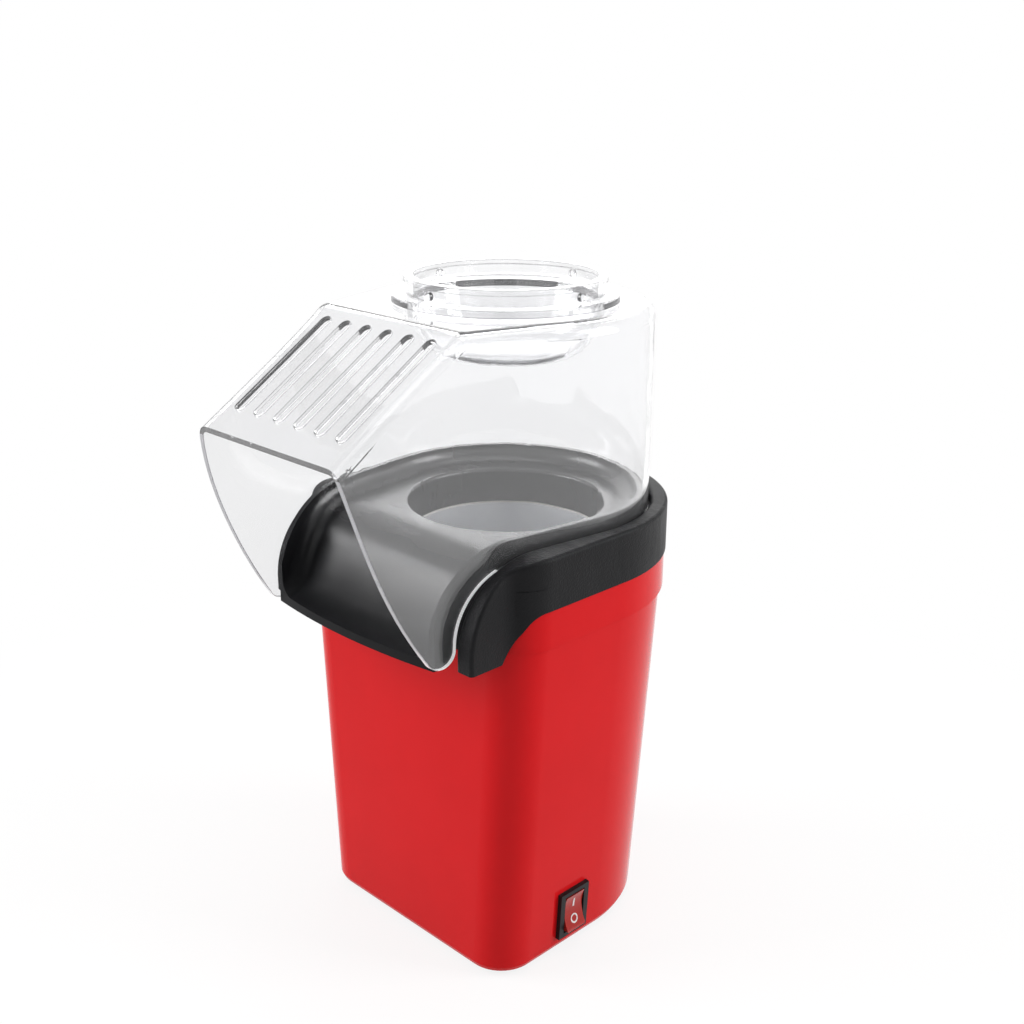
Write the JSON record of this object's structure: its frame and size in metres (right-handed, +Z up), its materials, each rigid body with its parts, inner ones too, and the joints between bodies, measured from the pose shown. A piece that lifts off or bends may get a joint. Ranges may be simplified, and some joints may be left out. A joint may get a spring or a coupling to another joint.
{
  "type": "hot-air popcorn maker",
  "caption": "Upright hot-air popcorn maker: flared red housing, black collar with front arms, clear lift-off hood over a sloping chute, measuring cup lid and side rocker switch.",
  "frame": {"origin": "on the table plane, under the middle of the whole object's bounding box", "axes": "+Z up along the popping chamber's axis, -Y towards the chute mouth, +X towards the side with the rocker switch"},
  "size_m": [0.1344, 0.1854, 0.275],
  "materials": {
    "red_shell": "high gloss moulded plastic",
    "black_satin": "fine satin texture",
    "black_tray": "smooth semi-gloss",
    "clear_hood": "clear, polished",
    "clear_cup": "clear, polished",
    "alloy": "drawn sheet, satin",
    "silicone": "matt",
    "foot_rubber": "matt",
    "screw_steel": "zinc plated",
    "duct_steel": "galvanised sheet",
    "mica": "pale mica board",
    "heater_wire": "oxidised resistance wire",
    "sensor": "pressed can",
    "fan_plastic": "heat-resistant plastic",
    "impeller_plastic": "moulded plastic",
    "motor_steel": "plated can",
    "end_cap": "moulded plastic",
    "bronze": "sintered",
    "magnet": "ferrite",
    "armature": "laminations with windings",
    "shaft_steel": "ground",
    "board": "paper laminate",
    "diode": "moulded case",
    "switch_black": "smooth satin",
    "rocker_red": "translucent, polished",
    "terminal": "plated strip",
    "gland_black": "smooth"
  },
  "bodies": {
    "base": {"housing_shell": "red_shell", "base_plate": "black_satin", "base_screws": "screw_steel", "rubber_feet": "foot_rubber", "collar": "black_satin", "chute_tray": "black_tray", "tray_screws": "screw_steel", "popping_chamber": "alloy", "chamber_gasket": "silicone", "chamber_screws": "screw_steel", "heater_duct": "duct_steel", "mica_frame": "mica", "heater_coil": "heater_wire", "thermostat": "sensor", "thermal_fuse": "sensor", "fan_housing": "fan_plastic", "motor_can": "motor_steel", "motor_end_cap": "end_cap", "motor_bushes": "bronze", "motor_magnets": "magnet", "motor_screws": "screw_steel", "duct_screws": "screw_steel", "rectifier_board": "board", "rectifier_diodes": "diode", "switch_housing": "switch_black", "switch_terminals": "terminal", "cord_gland": "gland_black"},
    "hood": {"hood": "clear_hood"},
    "cup": {"measuring_cup": "clear_cup"},
    "rocker": {"rocker_button": "rocker_red"},
    "rotor": {"fan_impeller": "impeller_plastic", "motor_armature": "armature", "motor_shaft": "shaft_steel"}
  },
  "joints": [
    {"name": "hood_lift", "type": "slide", "parent": "base", "child": "hood", "axis": [0, 0, 1], "range_m": [0, 0.08]},
    {"name": "cup_lift", "type": "slide", "parent": "hood", "child": "cup", "axis": [0, 0, 1], "range_m": [0, 0.045]},
    {"name": "switch_rock", "type": "hinge", "parent": "base", "child": "rocker", "pos_m": [0.05667, 0.0078, 0.01866], "axis": [0, 1, 0], "range_deg": [0, 14]},
    {"name": "fan_spin", "type": "hinge", "parent": "base", "child": "rotor", "pos_m": [0, 0.0255, 0.04], "axis": [0, 0, 1], "continuous": true}
  ]
}
